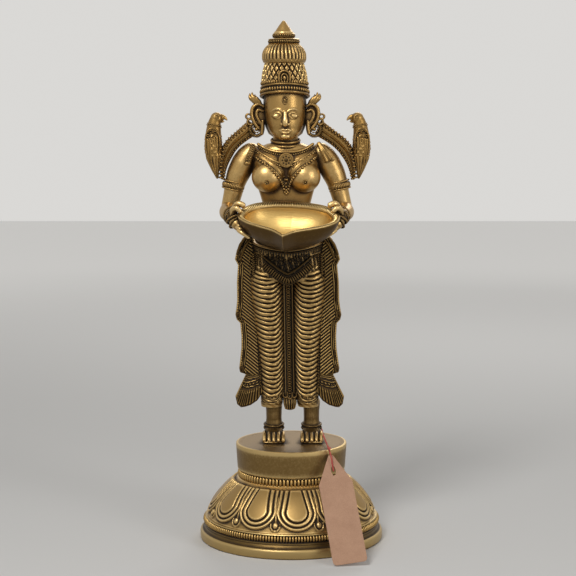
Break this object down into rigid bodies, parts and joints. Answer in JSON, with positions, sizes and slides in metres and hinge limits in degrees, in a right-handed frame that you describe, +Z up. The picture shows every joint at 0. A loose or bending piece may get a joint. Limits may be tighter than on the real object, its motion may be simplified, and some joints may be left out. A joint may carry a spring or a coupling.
{
  "type": "figural oil lamp",
  "caption": "Standing brass lamp-bearer figure on a round lotus pedestal, holding out a leaf-shaped oil bowl, with a paper tag hanging from its ankle",
  "frame": {"origin": "centre of the pedestal's round foot, on the surface it stands on", "axes": "+Z up, -Y towards the front of the figure, +X towards the viewer's right"},
  "size_m": [0.1174, 0.1317, 0.33],
  "materials": {
    "figure_skin": "polished",
    "figure_dress": "satin",
    "bowl_metal": "brushed",
    "plinth_metal": "satin",
    "pedestal_metal": "satin",
    "clamp_steel": "satin",
    "tag_paper": "matte",
    "tag_thread": "matte"
  },
  "bodies": {
    "lamp": {"centre_bead_cord": "figure_dress", "centre_panel": "figure_dress", "centre_tassel": "figure_dress", "clamp_nut": "clamp_steel", "clamp_stud": "clamp_steel", "clamp_washer": "clamp_steel", "collar_rings": "figure_dress", "crown_band": "figure_dress", "crown_bulb": "figure_dress", "crown_collars": "figure_dress", "crown_drum": "figure_dress", "crown_finial": "figure_dress", "girdle_swags": "figure_dress", "head": "figure_skin", "hip_girdle": "figure_dress", "hips": "figure_dress", "lamp_bowl": "bowl_metal", "left_anklet": "figure_dress", "left_armlet": "figure_dress", "left_bangles": "figure_dress", "left_ear": "figure_skin", "left_ear_ornament": "figure_dress", "left_foot": "figure_skin", "left_forearm": "figure_skin", "left_hand": "figure_skin", "left_hip_loop": "figure_dress", "left_leg": "figure_dress", "left_parrot": "figure_dress", "left_sash_fan": "figure_dress", "left_shoulder_garland": "figure_dress", "left_shoulder_lappet": "figure_dress", "left_side_sash": "figure_dress", "left_upper_arm": "figure_skin", "neck": "figure_skin", "pedestal_base": "pedestal_metal", "pedestal_neck_ring": "pedestal_metal", "pedestal_rim_beads": "pedestal_metal", "pendant": "figure_dress", "plinth_drum": "plinth_metal", "right_anklet": "figure_dress", "right_armlet": "figure_dress", "right_bangles": "figure_dress", "right_ear": "figure_skin", "right_ear_ornament": "figure_dress", "right_foot": "figure_skin", "right_forearm": "figure_skin", "right_hand": "figure_skin", "right_hip_loop": "figure_dress", "right_leg": "figure_dress", "right_parrot": "figure_dress", "right_sash_fan": "figure_dress", "right_shoulder_garland": "figure_dress", "right_shoulder_lappet": "figure_dress", "right_side_sash": "figure_dress", "right_upper_arm": "figure_skin", "tag_thread": "tag_thread", "thread_knot": "tag_thread", "torso": "figure_skin", "v_necklace": "figure_dress"},
    "tag": {"swing_tag": "tag_paper"}
  },
  "joints": [
    {"name": "tag_swing", "type": "hinge", "parent": "lamp", "child": "tag", "pos_m": [0.0262, -0.0355, 0.0506], "axis": [0, -0.7991, 0.6012], "range_deg": [-12, 30]}
  ]
}
